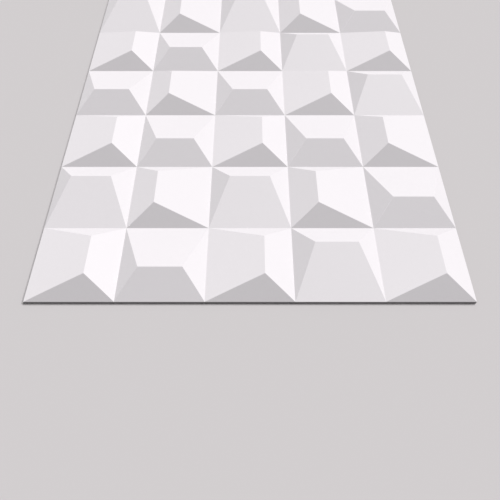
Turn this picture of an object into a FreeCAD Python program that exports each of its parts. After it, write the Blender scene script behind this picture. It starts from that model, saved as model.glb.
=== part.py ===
"""Faceted wall panel, moulded in one piece.

A thin board with a flat back carries square cells, five across. Every cell is the same
low hip roof: a short ridge that stands nearer to one side of the cell, with two trapezium
facets along it and a triangular facet at each end. Its facets run down to the cell's sides,
so the board alone shows at the panel's edges. The cells are turned by none, one, two or
three quarter turns, and these turns repeat every four rows along the panel.

Frame: the panel lies on its back, face up. The origin is the centre of the back, +X runs
across the panel, +Y along it from its front edge, and +Z out of its face. Millimetres.
"""

import FreeCAD, Part
import os
import Sketcher

PARTS_FOLDER = "parts"
PANEL_NAME = "wall_panel"

# Driving dimensions: the name of the value, the value, and what it measures
SIZES = (
    ("cell_size", 100.0, "side of one square cell"),
    ("ridge_offset", 33.3, "from the ridge to the side of the cell that it stands nearer to"),
    ("ridge_length", 50.0, "length of the ridge, centred between the cell's other two sides"),
    ("relief_height", 20.0, "height of the ridge above the board"),
    ("board_thickness", 4.0, "thickness of the board, seen at the panel's edges"),
    ("row_repeats", 3, "how often the rows of the layout follow each other along the panel"),
)

# The side of the cell that each ridge stands nearer to, one word for a row, front row first
LAYOUT = (
    "ESENE",
    "NWNWS",
    "ESESW",
    "SWSEN",
)
COLUMNS = len(LAYOUT[0])
LAYOUT_ROWS = len(LAYOUT)

# Turn of a cell about the vertical, counted from one with its ridge towards +X
TURN_DEGREES = {"E": 0, "N": 90, "W": 180, "S": 270}

PANEL_WIDTH = f"{COLUMNS} * sizes.cell_size"
LAYOUT_LENGTH = f"{LAYOUT_ROWS} * sizes.cell_size"
REPEATS = "round(sizes.row_repeats)"
FRONT_EDGE = f"{REPEATS} * {LAYOUT_LENGTH} / 2"


def add_sizes(doc):
    """The sheet of driving dimensions, one row for each, with its meaning beside it."""
    sheet = doc.addObject("Spreadsheet::Sheet", "sizes")
    for row, (name, value, meaning) in enumerate(SIZES, start=1):
        sheet.set(f"A{row}", str(value))
        sheet.setAlias(f"A{row}", name)
        sheet.set(f"B{row}", meaning)
    doc.recompute()


def origin_feature(body, role):
    """One of the body's own origin planes or axes."""
    return next(feature for feature in body.Origin.OriginFeatures if feature.Role == role)


def bind(feature, expressions):
    """Ties properties of a feature to the sheet."""
    for path, expression in expressions.items():
        feature.setExpression(path, expression)


def add_outline(body):
    """The rectangle of one repeat of the layout, with its front side at the panel's front edge.

    It is drawn as a small square, and its distances then bring it to its size.
    """
    sketch = body.newObject("Sketcher::SketchObject", "layout_outline")
    sketch.AttachmentSupport = [(origin_feature(body, "XY_Plane"), "")]
    sketch.MapMode = "FlatFace"
    half = 1.0
    places = ((-half, -half), (half, -half), (half, half), (-half, half))
    corners = [FreeCAD.Vector(x, y, 0) for x, y in places]
    front, right, back, left = range(4)
    start, end = 1, 2
    for side in (front, right, back, left):
        following = (side + 1) % 4
        sketch.addGeometry(Part.LineSegment(corners[side], corners[following]), False)
    for side in (front, right, back, left):
        sketch.addConstraint(Sketcher.Constraint("Coincident", side, end, (side + 1) % 4, start))
    sketch.addConstraint(Sketcher.Constraint("Horizontal", back))
    for side in (right, left):
        sketch.addConstraint(Sketcher.Constraint("Vertical", side))
    y_axis = -2
    origin = (-1, 1)
    sketch.addConstraint(Sketcher.Constraint("Symmetric", front, start, front, end, y_axis))
    distances = {
        "panel_width": ("DistanceX", front, start, front, end, 2 * half),
        "layout_length": ("DistanceY", right, start, right, end, 2 * half),
        "front_edge": ("DistanceY", front, start, *origin, half),
    }
    for name, distance in distances.items():
        number = sketch.addConstraint(Sketcher.Constraint(*distance))
        sketch.renameConstraint(number, name)
    bind(
        sketch,
        {
            "Constraints.panel_width": PANEL_WIDTH,
            "Constraints.layout_length": LAYOUT_LENGTH,
            "Constraints.front_edge": FRONT_EDGE,
        },
    )
    return sketch


def add_board(body):
    """The flat board under one repeat of the layout."""
    board = body.newObject("PartDesign::Pad", "board")
    board.Profile = add_outline(body)
    bind(board, {"Length": "sizes.board_thickness"})


def add_cell(body, row, column):
    """One hip roof on the board: a wedge that ends in a ridge, turned as the layout says.

    The wedge stands on the upright XZ plane, so that its own Y is up and its own Z points
    to the front of the panel.
    """
    cell = body.newObject("PartDesign::AdditiveWedge", f"cell_{row + 1}_{column + 1}")
    cell.AttachmentSupport = [(origin_feature(body, "XZ_Plane"), "")]
    cell.MapMode = "FlatFace"
    up = FreeCAD.Vector(0, 1, 0)
    turn = FreeCAD.Rotation(up, TURN_DEGREES[LAYOUT[row][column]])
    cell.AttachmentOffset = FreeCAD.Placement(FreeCAD.Vector(0, 0, 0), turn)
    cells_from_middle = column + 0.5 - COLUMNS / 2
    cells_from_front = row + 0.5
    # Faces that lie in one plane are merged once, by the last feature
    cell.Refine = False
    bind(
        cell,
        {
            "Xmin": "-sizes.cell_size / 2",
            "Xmax": "sizes.cell_size / 2",
            "Zmin": "-sizes.cell_size / 2",
            "Zmax": "sizes.cell_size / 2",
            "X2min": "sizes.cell_size / 2 - sizes.ridge_offset",
            "X2max": "sizes.cell_size / 2 - sizes.ridge_offset",
            "Z2min": "-sizes.ridge_length / 2",
            "Z2max": "sizes.ridge_length / 2",
            "Ymin": "0 mm",
            "Ymax": "sizes.relief_height",
            "AttachmentOffset.Base.x": f"{cells_from_middle} * sizes.cell_size",
            "AttachmentOffset.Base.y": "sizes.board_thickness",
            "AttachmentOffset.Base.z": f"{FRONT_EDGE} - {cells_from_front} * sizes.cell_size",
        },
    )


def add_repeats(body):
    """Board and cells of the layout, set one after another along the panel."""
    repeats = body.newObject("PartDesign::LinearPattern", "layout_repeats")
    repeats.TransformMode = "Whole shape"
    repeats.Direction = (origin_feature(body, "Y_Axis"), [""])
    repeats.Mode = "Spacing"
    bind(repeats, {"Offset": LAYOUT_LENGTH, "Occurrences": REPEATS})
    body.Tip = repeats


def add_panel(doc):
    """The whole panel as one body."""
    panel = doc.addObject("PartDesign::Body", PANEL_NAME)
    panel.Label = PANEL_NAME
    add_board(panel)
    for row in range(LAYOUT_ROWS):
        for column in range(COLUMNS):
            add_cell(panel, row, column)
    add_repeats(panel)
    doc.recompute()
    return panel


def check(doc, subparts):
    """Stops before anything is written if an object failed or a sub-part isn't one sound solid."""
    for item in doc.Objects:
        if {"Invalid", "Error"} & set(item.State):
            raise RuntimeError(f"{item.Label} failed: {item.State}")
    for subpart in subparts:
        shape = subpart.Shape
        if shape.isNull() or not shape.isValid() or len(shape.Solids) != 1:
            raise RuntimeError(f"{subpart.Label} is not one valid solid")


def write(subparts):
    """One STEP file for each sub-part, named by its label."""
    os.makedirs(PARTS_FOLDER, exist_ok=True)
    for subpart in subparts:
        subpart.Shape.exportStep(f"{PARTS_FOLDER}/{subpart.Label}.step")
        box = subpart.Shape.BoundBox
        print(
            f"{subpart.Label}: {box.XLength:.1f} x {box.YLength:.1f} x {box.ZLength:.1f} mm,",
            f"{len(subpart.Shape.Faces)} faces, {subpart.Shape.Volume / 1000:.1f} cm3",
        )


def main():
    doc = FreeCAD.newDocument("faceted_wall_panel")
    add_sizes(doc)
    subparts = [add_panel(doc)]
    check(doc, subparts)
    write(subparts)


main()
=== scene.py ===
# %% [markdown]
# # A faceted wall panel
# The object is one white moulded panel that lies flat with its face up. Square cells cover the
# face, and each is a low hip roof whose ridge stands off the middle. The cells are all alike, but
# they are turned different ways, so the same light gives each one other tones.
#
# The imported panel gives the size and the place. This lesson dresses it: ridges and hips with a
# real rounding, a white finish with grain, a floor, light and a camera.

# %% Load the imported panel
import math

import bmesh
import bpy
import numpy as np
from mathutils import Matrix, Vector


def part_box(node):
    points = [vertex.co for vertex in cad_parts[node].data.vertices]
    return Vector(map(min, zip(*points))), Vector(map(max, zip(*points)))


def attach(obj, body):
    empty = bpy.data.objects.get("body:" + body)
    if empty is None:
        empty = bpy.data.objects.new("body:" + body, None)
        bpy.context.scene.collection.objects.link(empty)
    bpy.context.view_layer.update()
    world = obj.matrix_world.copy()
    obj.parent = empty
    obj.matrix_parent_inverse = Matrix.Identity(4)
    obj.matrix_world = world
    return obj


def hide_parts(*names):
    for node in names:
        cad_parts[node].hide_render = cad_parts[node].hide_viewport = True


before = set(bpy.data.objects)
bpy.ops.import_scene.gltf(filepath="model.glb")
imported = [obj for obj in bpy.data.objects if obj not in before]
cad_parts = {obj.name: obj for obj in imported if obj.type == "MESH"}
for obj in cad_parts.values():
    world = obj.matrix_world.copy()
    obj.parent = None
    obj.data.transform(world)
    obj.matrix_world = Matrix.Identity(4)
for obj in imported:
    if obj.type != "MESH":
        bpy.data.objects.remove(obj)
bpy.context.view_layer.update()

NODE = "wall_panel"
MM = 0.001

panel_low, panel_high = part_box(NODE)
panel_size = panel_high - panel_low
print("packed panel, mm:", [round(side / MM, 2) for side in panel_size])

# %% [markdown]
# ## The layout
# On the real panel the cells make an even grid, five across. A letter says which side of its cell
# a ridge stands nearer to: E for right, N for back, W for left and S for front. The rows below are
# read from the front edge backwards, and they repeat until the panel ends.
#
# A letter is a turn. A cell with its ridge on the right is the pattern for all the others, and each
# quarter turn anticlockwise brings the ridge to the next side.

# %% Read the layout into quarter turns
LAYOUT = ("ESENE", "NWNWS", "ESESW", "SWSEN")
QUARTER_TURNS = {"E": 0, "N": 1, "W": 2, "S": 3}
RIGHT_ANGLE = math.pi / 2

columns = len(LAYOUT[0])
cell_size = panel_size.x / columns
rows = round(panel_size.y / cell_size)
turns = [[QUARTER_TURNS[letter] for letter in LAYOUT[row % len(LAYOUT)]] for row in range(rows)]
print("cells:", columns, "across,", rows, "along, each", round(cell_size / MM, 2), "mm")

# %% [markdown]
# ## One cell with rounded edges
# A mould can't make a perfectly sharp ridge: it is always a little round, and that thin round edge
# is what catches the light. A Bevel modifier could round it, but eight edges meet where four cells
# touch, and a bevel makes a knot there.
#
# So the rounding is worked out instead. Think of a small ball that lies under the skin at each end
# of the ridge and touches three facets at once. The three points where it touches are where the
# flat facets end. Between the two balls the ridge is a piece of a cylinder, and from a ball down to
# each corner of the cell the hip is a slim cone that fades out to nothing. The four corners stay
# sharp points, so that neighbouring cells still meet exactly.

# %% Work out the facets of a cell
BOARD_THICKNESS = 4 * MM
RIDGE_OFFSET = 33.3 * MM
RIDGE_LENGTH = 50 * MM

relief_height = panel_size.z - BOARD_THICKNESS
half_cell = cell_size / 2
end_run = half_cell - RIDGE_LENGTH / 2


def facet_plane(slope, touching):
    """Outward unit normal of a facet, and its distance from the cell's middle along that normal."""
    normal = np.array(slope) / np.linalg.norm(slope)
    return normal, normal @ np.array(touching)


facets = {
    "near": facet_plane((relief_height, 0, RIDGE_OFFSET), (half_cell, 0, 0)),
    "far": facet_plane((-relief_height, 0, cell_size - RIDGE_OFFSET), (-half_cell, 0, 0)),
    "front": facet_plane((0, -relief_height, end_run), (0, -half_cell, 0)),
    "back": facet_plane((0, relief_height, end_run), (0, half_cell, 0)),
}
for name, (normal, _) in facets.items():
    print(name, "facet slopes", round(math.degrees(math.acos(normal[2])), 1), "degrees")

# %% Round the ends of the ridge with a ball
ROUNDING_RADIUS = 0.6 * MM
ROUNDING_STEPS = 4


def ball_points(vertices, names):
    """Adds the points of the ball under three facets. A key tells how far a point leans to each."""
    normals = np.array([facets[name][0] for name in names])
    distances = np.array([facets[name][1] for name in names])
    centre = np.linalg.solve(normals, distances - ROUNDING_RADIUS)
    points = {}
    for first in range(ROUNDING_STEPS + 1):
        for second in range(ROUNDING_STEPS + 1 - first):
            lean = (first, second, ROUNDING_STEPS - first - second)
            direction = np.array(lean) @ normals
            points[lean] = len(vertices)
            vertices.append(centre + ROUNDING_RADIUS * direction / np.linalg.norm(direction))
    return points


def ball_arc(points, start, end):
    """The ball's points from one facet to another; 0, 1 and 2 stand for its three facets."""
    arc = []
    for step in range(ROUNDING_STEPS + 1):
        lean = [0, 0, 0]
        lean[start] = ROUNDING_STEPS - step
        lean[end] = step
        arc.append(points[tuple(lean)])
    return arc


def ball_faces(points):
    """The triangles between the ball's points."""
    faces = []
    for a, b, c in points:
        if a > 0:
            faces.append((points[a, b, c], points[a - 1, b + 1, c], points[a - 1, b, c + 1]))
        if b > 0 and c > 0:
            faces.append((points[a, b, c], points[a + 1, b - 1, c], points[a + 1, b, c - 1]))
    return faces


trial = ball_faces(ball_points([], ("near", "far", "front")))
print("rounding:", ROUNDING_RADIUS / MM, "mm,", len(trial), "small faces at each end of a ridge")

# %% Build the cell from two balls, a cylinder and four cones
corners = {
    ("near", "front"): (half_cell, -half_cell, 0),
    ("near", "back"): (half_cell, half_cell, 0),
    ("far", "back"): (-half_cell, half_cell, 0),
    ("far", "front"): (-half_cell, -half_cell, 0),
}


def turn_faces_up(mesh):
    """Every face of a cell looks up and out, so a face that looks down has its corners reversed."""
    shape = bmesh.new()
    shape.from_mesh(mesh)
    shape.normal_update()
    bmesh.ops.reverse_faces(shape, faces=[face for face in shape.faces if face.normal.z < 0])
    shape.to_mesh(mesh)
    shape.free()


def make_cell():
    """A hip roof with its ridge towards +X, open below, with flat facets and smooth roundings."""
    vertices = [np.array(place) for place in corners.values()]
    corner = {names: number for number, names in enumerate(corners)}
    ends = {end: ball_points(vertices, ("near", "far", end)) for end in ("front", "back")}
    near, far, end_facet = range(3)
    ridge_arcs = {end: ball_arc(points, near, far) for end, points in ends.items()}
    flat = []
    for side, place in (("near", 0), ("far", -1)):
        front_touch = ridge_arcs["front"][place]
        back_touch = ridge_arcs["back"][place]
        flat.append((corner[side, "front"], corner[side, "back"], back_touch, front_touch))
    rounded = []
    for end, points in ends.items():
        touch = ball_arc(points, end_facet, near)[0]
        flat.append((corner["near", end], corner["far", end], touch))
        rounded += ball_faces(points)
        for side, side_number in (("near", near), ("far", far)):
            hip = ball_arc(points, side_number, end_facet)
            rounded += [(corner[side, end], a, b) for a, b in zip(hip, hip[1:])]
    front, back = ridge_arcs["front"], ridge_arcs["back"]
    for step in range(ROUNDING_STEPS):
        rounded.append((front[step], back[step], back[step + 1], front[step + 1]))
    mesh = bpy.data.meshes.new("cell")
    mesh.from_pydata([tuple(place) for place in vertices], [], flat + rounded)
    smooth = [False] * len(flat) + [True] * len(rounded)
    mesh.polygons.foreach_set("use_smooth", smooth)
    turn_faces_up(mesh)
    return bpy.data.objects.new("cell", mesh)


cell = make_cell()
print("cell:", len(cell.data.vertices), "points,", len(cell.data.polygons), "faces")

# %% [markdown]
# ## The finish
# The real surface is a matt white coat over moulded foam. From a step away it looks plain, but it
# has a fine grain like an eggshell, and its white isn't quite even. Both are made from noise in the
# panel's own coordinates, in real sizes, so that they stay put when the camera moves.
#
# The face and the back share the grain, so it is a node group with its own inputs. The back was
# never coated: it is duller, with open pores that take the adhesive.

# %% Two helpers for node trees
def new_socket(tree, name, kind, direction="INPUT"):
    """Adds a named socket to a node group."""
    tree.interface.new_socket(name=name, in_out=direction, socket_type=kind)


def new_node(tree, kind, values=None, **settings):
    """Adds a node, sets its options, and fills or links its inputs."""
    node = tree.nodes.new(kind)
    for name, setting in settings.items():
        setattr(node, name, setting)
    for name, value in (values or {}).items():
        if isinstance(value, bpy.types.NodeSocket):
            tree.links.new(value, node.inputs[name])
        else:
            node.inputs[name].default_value = value
    return node


print("helpers for node trees are ready")

# %% A node group for the grain
CLOUDS_PER_METRE = 9.0
SPOTS_PER_METRE = 140.0
NOISE_DETAIL = 2.0
ROUGHNESS_SWING = 0.12


def new_noise(tree, place, scale):
    """Smooth noise; its first output lies around one half."""
    return new_node(
        tree,
        "ShaderNodeTexNoise",
        {"Vector": place, "Scale": scale, "Detail": NOISE_DETAIL},
    ).outputs[0]


def new_math(tree, operation, *values):
    """One step of arithmetic."""
    return new_node(tree, "ShaderNodeMath", dict(enumerate(values)), operation=operation).outputs[0]


def make_grain_group():
    """Uneven white from noise at two sizes, and a height for the grain from a third."""
    tree = bpy.data.node_groups.new("coat_grain", "ShaderNodeTree")
    new_socket(tree, "Colour", "NodeSocketColor")
    new_socket(tree, "Unevenness", "NodeSocketFloat")
    new_socket(tree, "Grain Size", "NodeSocketFloat")
    new_socket(tree, "Roughness", "NodeSocketFloat")
    new_socket(tree, "Colour", "NodeSocketColor", "OUTPUT")
    new_socket(tree, "Roughness", "NodeSocketFloat", "OUTPUT")
    new_socket(tree, "Height", "NodeSocketFloat", "OUTPUT")
    given = new_node(tree, "NodeGroupInput").outputs
    place = new_node(tree, "ShaderNodeTexCoord").outputs["Object"]

    clouds = new_noise(tree, place, CLOUDS_PER_METRE)
    spots = new_noise(tree, place, SPOTS_PER_METRE)
    # Each noise lies around one half, so their sum lies around one
    around_one = new_math(tree, "ADD", clouds, spots)
    around_zero = new_math(tree, "SUBTRACT", around_one, 1.0)
    lightness = new_math(tree, "MULTIPLY_ADD", around_zero, given["Unevenness"], 1.0)
    tone = new_node(
        tree,
        "ShaderNodeVectorMath",
        {0: given["Colour"], "Scale": lightness},
        operation="SCALE",
    )
    rough = new_math(tree, "MULTIPLY_ADD", around_zero, ROUGHNESS_SWING, given["Roughness"])
    grains_per_metre = new_math(tree, "DIVIDE", 1.0, given["Grain Size"])
    grain = new_noise(tree, place, grains_per_metre)
    result = new_node(tree, "NodeGroupOutput").inputs
    tree.links.new(tone.outputs[0], result["Colour"])
    tree.links.new(rough, result["Roughness"])
    tree.links.new(grain, result["Height"])
    return tree


grain_group = make_grain_group()
print("grain group:", len(grain_group.nodes), "nodes")

# %% [markdown]
# White facets light each other, and a pale floor lights an edge from below. The photograph shows
# only a little of that: its shaded facets and its front edge stay dark. So a finish here has its
# true colour to the eye and to the lamps, and a darker one to light that comes from another surface.
# Light Path tells the two apart.

# %% The coated face and the bare back
BOUNCED_WHITE = (0.06, 0.058, 0.06)
# A Mix node has sockets of the same names for numbers and vectors: these are the ones for colours
MIX_FIRST, MIX_SECOND, MIX_RESULT = 6, 7, 2


def dim_bounce(tree, colour, bounced):
    """A colour for the eye, and a darker one for light that comes from another surface."""
    path = new_node(tree, "ShaderNodeLightPath").outputs
    mix = new_node(
        tree,
        "ShaderNodeMix",
        {"Factor": path["Is Diffuse Ray"], MIX_FIRST: colour, MIX_SECOND: (*bounced, 1)},
        data_type="RGBA",
    )
    return mix.outputs[MIX_RESULT]


def make_finish(name, colour, unevenness, roughness, grain_size, grain_depth):
    """A matt finish that wears the grain group."""
    material = bpy.data.materials.new(name)
    material.use_nodes = True
    tree = material.node_tree
    shader = tree.nodes["Principled BSDF"]
    grain = tree.nodes.new("ShaderNodeGroup")
    grain.node_tree = grain_group
    grain.inputs["Colour"].default_value = (*colour, 1)
    grain.inputs["Unevenness"].default_value = unevenness
    grain.inputs["Roughness"].default_value = roughness
    grain.inputs["Grain Size"].default_value = grain_size
    bump = new_node(
        tree,
        "ShaderNodeBump",
        {"Height": grain.outputs["Height"], "Distance": grain_depth},
    )
    seen = dim_bounce(tree, grain.outputs["Colour"], BOUNCED_WHITE)
    tree.links.new(seen, shader.inputs["Base Color"])
    tree.links.new(grain.outputs["Roughness"], shader.inputs["Roughness"])
    tree.links.new(bump.outputs["Normal"], shader.inputs["Normal"])
    return material


face_finish = make_finish(
    "matt_white_coat",
    colour=(0.870, 0.835, 0.862),
    unevenness=0.02,
    roughness=0.65,
    grain_size=0.8 * MM,
    grain_depth=0.045 * MM,
)
back_finish = make_finish(
    "bare_foam_back",
    colour=(0.82, 0.79, 0.78),
    unevenness=0.05,
    roughness=0.85,
    grain_size=1.4 * MM,
    grain_depth=0.15 * MM,
)
print("finishes:", face_finish.name, "and", back_finish.name)

# %% [markdown]
# ## The whole panel with Geometry Nodes
# Sixty copies placed by hand would hide the rule, so Geometry Nodes place them. The tree gets one
# point for the middle of each cell, with its quarter turns stored on it, and puts a turned copy of
# the cell there. The copies are made real and welded where they touch.
#
# What is left open is the rim. The tree finds the edges that belong to one face only, pulls them
# down by the board's thickness, and closes the panel with a back of its own.

# %% Make a point for each cell
def make_layout_points():
    """The middle of every cell, on top of the board, with its quarter turns as an attribute."""
    places = []
    for row in range(rows):
        for column in range(columns):
            across = panel_low.x + column * cell_size + half_cell
            along = panel_low.y + row * cell_size + half_cell
            places.append((across, along, panel_low.z + BOARD_THICKNESS))
    mesh = bpy.data.meshes.new("layout_points")
    mesh.from_pydata(places, [], [])
    stored = mesh.attributes.new("quarter_turns", "INT", "POINT")
    stored.data.foreach_set("value", [turn for row in turns for turn in row])
    points = bpy.data.objects.new("layout_points", mesh)
    bpy.context.scene.collection.objects.link(points)
    return points


layout_points = make_layout_points()
print("layout:", len(layout_points.data.vertices), "points")

# %% The tree's first half: turned copies of the cell
WELD_DISTANCE = 0.01 * MM


def weld(tree, geometry):
    """Joins points that lie in the same place."""
    return new_node(
        tree,
        "GeometryNodeMergeByDistance",
        {"Geometry": geometry, "Distance": WELD_DISTANCE},
    ).outputs[0]


def add_relief(tree, given):
    """A copy of the cell on each point, turned by the point's quarter turns, all welded."""
    stored = new_node(
        tree,
        "GeometryNodeInputNamedAttribute",
        {"Name": "quarter_turns"},
        data_type="INT",
    )
    turn = new_math(tree, "MULTIPLY", stored.outputs["Attribute"], RIGHT_ANGLE)
    upright_turn = new_node(tree, "ShaderNodeCombineXYZ", {"Z": turn})
    rotation = new_node(tree, "FunctionNodeEulerToRotation", {"Euler": upright_turn.outputs[0]})
    pattern = new_node(tree, "GeometryNodeObjectInfo", {"Object": given["Cell"]})
    copies = new_node(
        tree,
        "GeometryNodeInstanceOnPoints",
        {
            "Points": given["Layout"],
            "Instance": pattern.outputs["Geometry"],
            "Rotation": rotation.outputs[0],
        },
    )
    real_copies = new_node(tree, "GeometryNodeRealizeInstances", {"Geometry": copies.outputs[0]})
    return weld(tree, real_copies.outputs[0])


print("cells are welded within", WELD_DISTANCE / MM, "mm")

# %% The tree's second half: sides, back and finishes
def flat_shaded(tree, geometry, selection=True):
    """Shades the chosen faces flat."""
    return new_node(
        tree,
        "GeometryNodeSetShadeSmooth",
        {"Geometry": geometry, "Selection": selection, "Shade Smooth": False},
    ).outputs[0]


def add_sides(tree, relief, thickness):
    """The open rim of the relief, pulled straight down."""
    neighbours = new_node(tree, "GeometryNodeInputMeshEdgeNeighbors")
    rim = new_node(
        tree,
        "FunctionNodeCompare",
        {"A": neighbours.outputs["Face Count"], "B": 1},
        data_type="INT",
        operation="EQUAL",
    )
    down = new_node(tree, "ShaderNodeCombineXYZ", {"Z": -1.0})
    sides = new_node(
        tree,
        "GeometryNodeExtrudeMesh",
        {
            "Mesh": relief,
            "Selection": rim.outputs[0],
            "Offset": down.outputs[0],
            "Offset Scale": thickness,
        },
        mode="EDGES",
    )
    return flat_shaded(tree, sides.outputs["Mesh"], sides.outputs["Side"])


def add_back(tree, given):
    """A flat grid at the panel's foot, facing down, with a point under every corner of a cell."""
    spans = {}
    points = {}
    for axis in ("Columns", "Rows"):
        spans[axis] = new_math(tree, "MULTIPLY", given["Cell Size"], given[axis])
        points[axis] = new_math(tree, "ADD", given[axis], 1.0)
    grid = new_node(
        tree,
        "GeometryNodeMeshGrid",
        {
            "Size X": spans["Columns"],
            "Size Y": spans["Rows"],
            "Vertices X": points["Columns"],
            "Vertices Y": points["Rows"],
        },
    )
    facing_down = new_node(tree, "GeometryNodeFlipFaces", {"Mesh": grid.outputs["Mesh"]})
    return flat_shaded(tree, facing_down.outputs[0])


def add_finishes(tree, geometry, given):
    """The coat everywhere, then the bare finish on what faces down."""
    halfway_down = -0.5
    coated = new_node(
        tree,
        "GeometryNodeSetMaterial",
        {"Geometry": geometry, "Material": given["Face Finish"]},
    )
    normal = new_node(tree, "GeometryNodeInputNormal")
    upward = new_node(tree, "ShaderNodeSeparateXYZ", {"Vector": normal.outputs[0]})
    underside = new_node(
        tree,
        "FunctionNodeCompare",
        {"A": upward.outputs["Z"], "B": halfway_down},
        data_type="FLOAT",
        operation="LESS_THAN",
    )
    return new_node(
        tree,
        "GeometryNodeSetMaterial",
        {
            "Geometry": coated.outputs[0],
            "Selection": underside.outputs[0],
            "Material": given["Back Finish"],
        },
    ).outputs[0]


def make_panel_tree():
    """Turned cells on points, welded, with sides and a back."""
    tree = bpy.data.node_groups.new("faceted_panel", "GeometryNodeTree")
    new_socket(tree, "Layout", "NodeSocketGeometry")
    new_socket(tree, "Cell", "NodeSocketObject")
    new_socket(tree, "Cell Size", "NodeSocketFloat")
    new_socket(tree, "Columns", "NodeSocketInt")
    new_socket(tree, "Rows", "NodeSocketInt")
    new_socket(tree, "Board Thickness", "NodeSocketFloat")
    new_socket(tree, "Face Finish", "NodeSocketMaterial")
    new_socket(tree, "Back Finish", "NodeSocketMaterial")
    new_socket(tree, "Panel", "NodeSocketGeometry", "OUTPUT")
    given = new_node(tree, "NodeGroupInput").outputs

    relief = add_relief(tree, given)
    joined = new_node(tree, "GeometryNodeJoinGeometry")
    tree.links.new(add_back(tree, given), joined.inputs[0])
    tree.links.new(add_sides(tree, relief, given["Board Thickness"]), joined.inputs[0])
    closed = weld(tree, joined.outputs[0])
    real = new_node(tree, "GeometryNodeRealizeInstances", {"Geometry": closed})
    result = new_node(tree, "NodeGroupOutput")
    tree.links.new(add_finishes(tree, real.outputs[0], given), result.inputs["Panel"])
    return tree


panel_tree = make_panel_tree()
print("panel tree:", len(panel_tree.nodes), "nodes")

# %% Run the tree and keep a plain mesh
def run_tree(obj, tree, values):
    """Sets the named inputs by their identifiers and returns the tree's result as a mesh."""
    modifier = obj.modifiers.new(tree.name, "NODES")
    modifier.node_group = tree
    for item in tree.interface.items_tree:
        if item.in_out == "INPUT" and item.name in values:
            modifier[item.identifier] = values[item.name]
    graph = bpy.context.evaluated_depsgraph_get()
    mesh = bpy.data.meshes.new_from_object(obj.evaluated_get(graph), depsgraph=graph)
    obj.modifiers.remove(modifier)
    for number in reversed(range(len(mesh.materials))):
        if mesh.materials[number] is None:
            mesh.materials.pop(index=number)
    return mesh


panel_mesh = run_tree(
    layout_points,
    panel_tree,
    {
        "Cell": cell,
        "Cell Size": cell_size,
        "Columns": columns,
        "Rows": rows,
        "Board Thickness": BOARD_THICKNESS,
        "Face Finish": face_finish,
        "Back Finish": back_finish,
    },
)
bpy.data.objects.remove(layout_points)
bpy.data.objects.remove(cell)
print("panel:", len(panel_mesh.polygons), "faces in", [finish.name for finish in panel_mesh.materials])

# %% Turn every face outward, and give the panel to its body
CUBIC_CENTIMETRES = 1e6

shape = bmesh.new()
shape.from_mesh(panel_mesh)
bmesh.ops.recalc_face_normals(shape, faces=shape.faces)
open_edges = [edge for edge in shape.edges if len(edge.link_faces) != 2]
volume = shape.calc_volume() * CUBIC_CENTIMETRES
shape.to_mesh(panel_mesh)
shape.free()
print("panel:", len(open_edges), "open edges,", round(volume, 1), "cm3")

panel_mesh.name = "moulded_panel"
panel = bpy.data.objects.new("moulded_panel", panel_mesh)
bpy.context.scene.collection.objects.link(panel)
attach(panel, "root")
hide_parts(NODE)

# %% [markdown]
# ## The floor
# The panel lies on a plain grey floor that fills the picture. One flat sheet is enough. It is not
# part of the object. It passes on even less light than the panel, because the front edge, which
# looks at the floor, is the darkest part of the photograph.

# %% Floor
FLOOR_REACH = 40.0
FLOOR_GREY = (0.646, 0.619, 0.626)
BOUNCED_FLOOR = (0.04, 0.04, 0.04)
FLOOR_ROUGHNESS = 0.9
FLOOR_SPECULAR = 0.0


def make_floor_finish():
    """A dull, even grey."""
    material = bpy.data.materials.new("floor_grey")
    material.use_nodes = True
    tree = material.node_tree
    shader = tree.nodes["Principled BSDF"]
    shader.inputs["Roughness"].default_value = FLOOR_ROUGHNESS
    shader.inputs["Specular IOR Level"].default_value = FLOOR_SPECULAR
    seen = dim_bounce(tree, (*FLOOR_GREY, 1), BOUNCED_FLOOR)
    tree.links.new(seen, shader.inputs["Base Color"])
    return material


floor_mesh = bpy.data.meshes.new("floor")
floor_corners = [
    (-FLOOR_REACH, -FLOOR_REACH, panel_low.z),
    (FLOOR_REACH, -FLOOR_REACH, panel_low.z),
    (FLOOR_REACH, FLOOR_REACH, panel_low.z),
    (-FLOOR_REACH, FLOOR_REACH, panel_low.z),
]
floor_mesh.from_pydata(floor_corners, [], [(0, 1, 2, 3)])
floor_mesh.materials.append(make_floor_finish())
floor = bpy.data.objects.new("floor", floor_mesh)
bpy.context.scene.collection.objects.link(floor)
print("floor:", 2 * FLOOR_REACH, "m square")

# %% [markdown]
# ## Light
# The tones of the facets say where the light stands. Those that look right or back are the
# lightest, and those that look to the front are the darkest. Thin shadows along the left side and
# the front edge say more. So one soft lamp stands on the right and another behind on the right.
#
# Facets that look left or back are lighter than these lamps alone would leave them. In a studio that
# is the work of white boards, so two faint lamps near the floor take their place, one on the left
# and one behind it. They are as even as boards and draw no shadow. A weak even sky lifts what is left.

# %% Lamps and sky
SKY_WHITE = (1, 1, 1)
SKY_STRENGTH = 0.158


def add_lamp(name, azimuth, elevation, width, strength, shadow):
    """A far lamp. Angles are in degrees; azimuth 0 is on the right, 90 behind, 180 on the left."""
    data = bpy.data.lights.new(name, "SUN")
    data.energy = strength
    data.angle = math.radians(width)
    data.use_shadow = shadow
    around = math.radians(azimuth)
    up = math.radians(elevation)
    level = math.cos(up)
    towards = Vector((level * math.cos(around), level * math.sin(around), math.sin(up)))
    lamp = bpy.data.objects.new(name, data)
    lamp.rotation_mode = "QUATERNION"
    lamp.rotation_quaternion = towards.to_track_quat("Z", "Y")
    bpy.context.scene.collection.objects.link(lamp)
    print("lamp:", name, "from", [round(part, 2) for part in towards], "strength", strength)


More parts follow.
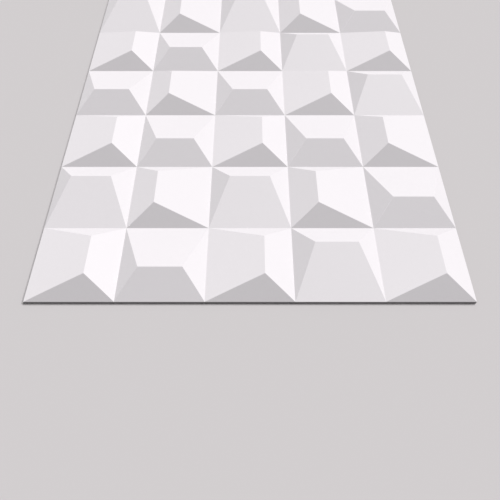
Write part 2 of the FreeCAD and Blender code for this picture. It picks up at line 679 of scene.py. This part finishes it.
add_lamp("right_lamp", azimuth=12, elevation=48, width=12, strength=1.52, shadow=True)
add_lamp("rear_lamp", azimuth=52, elevation=57, width=12, strength=1.68, shadow=True)
add_lamp("left_board", azimuth=180, elevation=5, width=5, strength=0.66, shadow=False)
add_lamp("back_board", azimuth=140, elevation=5, width=5, strength=0.61, shadow=False)


def make_world():
    """A weak even sky for the surfaces, and the floor's grey for the eye, so that no horizon shows."""
    made = bpy.data.worlds.new("even_sky")
    made.use_nodes = True
    tree = made.node_tree
    sky = tree.nodes["Background"]
    sky.inputs["Color"].default_value = (*SKY_WHITE, 1)
    sky.inputs["Strength"].default_value = SKY_STRENGTH
    backdrop = new_node(tree, "ShaderNodeBackground", {"Color": (*FLOOR_GREY, 1)})
    path = new_node(tree, "ShaderNodeLightPath").outputs
    seen = new_math(tree, "MAXIMUM", path["Is Camera Ray"], path["Is Glossy Ray"])
    seen_or_through = new_math(tree, "MAXIMUM", seen, path["Is Transmission Ray"])
    mix = new_node(
        tree,
        "ShaderNodeMixShader",
        {0: seen_or_through, 1: sky.outputs[0], 2: backdrop.outputs[0]},
    )
    tree.links.new(mix.outputs[0], tree.nodes["World Output"].inputs["Surface"])
    return made


bpy.context.scene.world = make_world()
bpy.context.scene.view_settings.view_transform = "Standard"
print("sky:", SKY_STRENGTH)

# %% [markdown]
# ## Camera
# The photograph looks down on the front edge from the panel's middle line. Its lens, height,
# distance and tilt come from the cells: they are squares of one size, so the places of their
# corners in the picture fix the camera.
#
# They also show that the lens doesn't point at the middle of the picture, as when a photograph is
# cut from the lower part of a larger one. A lens shift does the same. It stays small, because a
# camera that moves to another side keeps its shift, and the whole panel should still be in view.

# %% Camera
IMAGE_WIDTH_PX = 500
FOCAL_PX = 530.3
SENSOR_WIDTH = 36.0
CAMERA_BEFORE_EDGE = 275.7 * MM
CAMERA_ABOVE_BOARD = 522.9 * MM
CAMERA_TILT_DOWN = math.radians(53.42)
SHIFT_DOWN_PX = 30

camera_data = bpy.data.cameras.new("camera")
camera_data.sensor_width = SENSOR_WIDTH
camera_data.lens = FOCAL_PX * SENSOR_WIDTH / IMAGE_WIDTH_PX
camera_data.shift_y = -SHIFT_DOWN_PX / IMAGE_WIDTH_PX
camera = bpy.data.objects.new("camera", camera_data)
camera.location = (
    0,
    panel_low.y - CAMERA_BEFORE_EDGE,
    panel_low.z + BOARD_THICKNESS + CAMERA_ABOVE_BOARD,
)
camera.rotation_euler = (RIGHT_ANGLE - CAMERA_TILT_DOWN, 0, 0)
bpy.context.scene.collection.objects.link(camera)
bpy.context.scene.camera = camera
print("camera:", round(camera_data.lens, 2), "mm lens at", [round(part, 3) for part in camera.location])
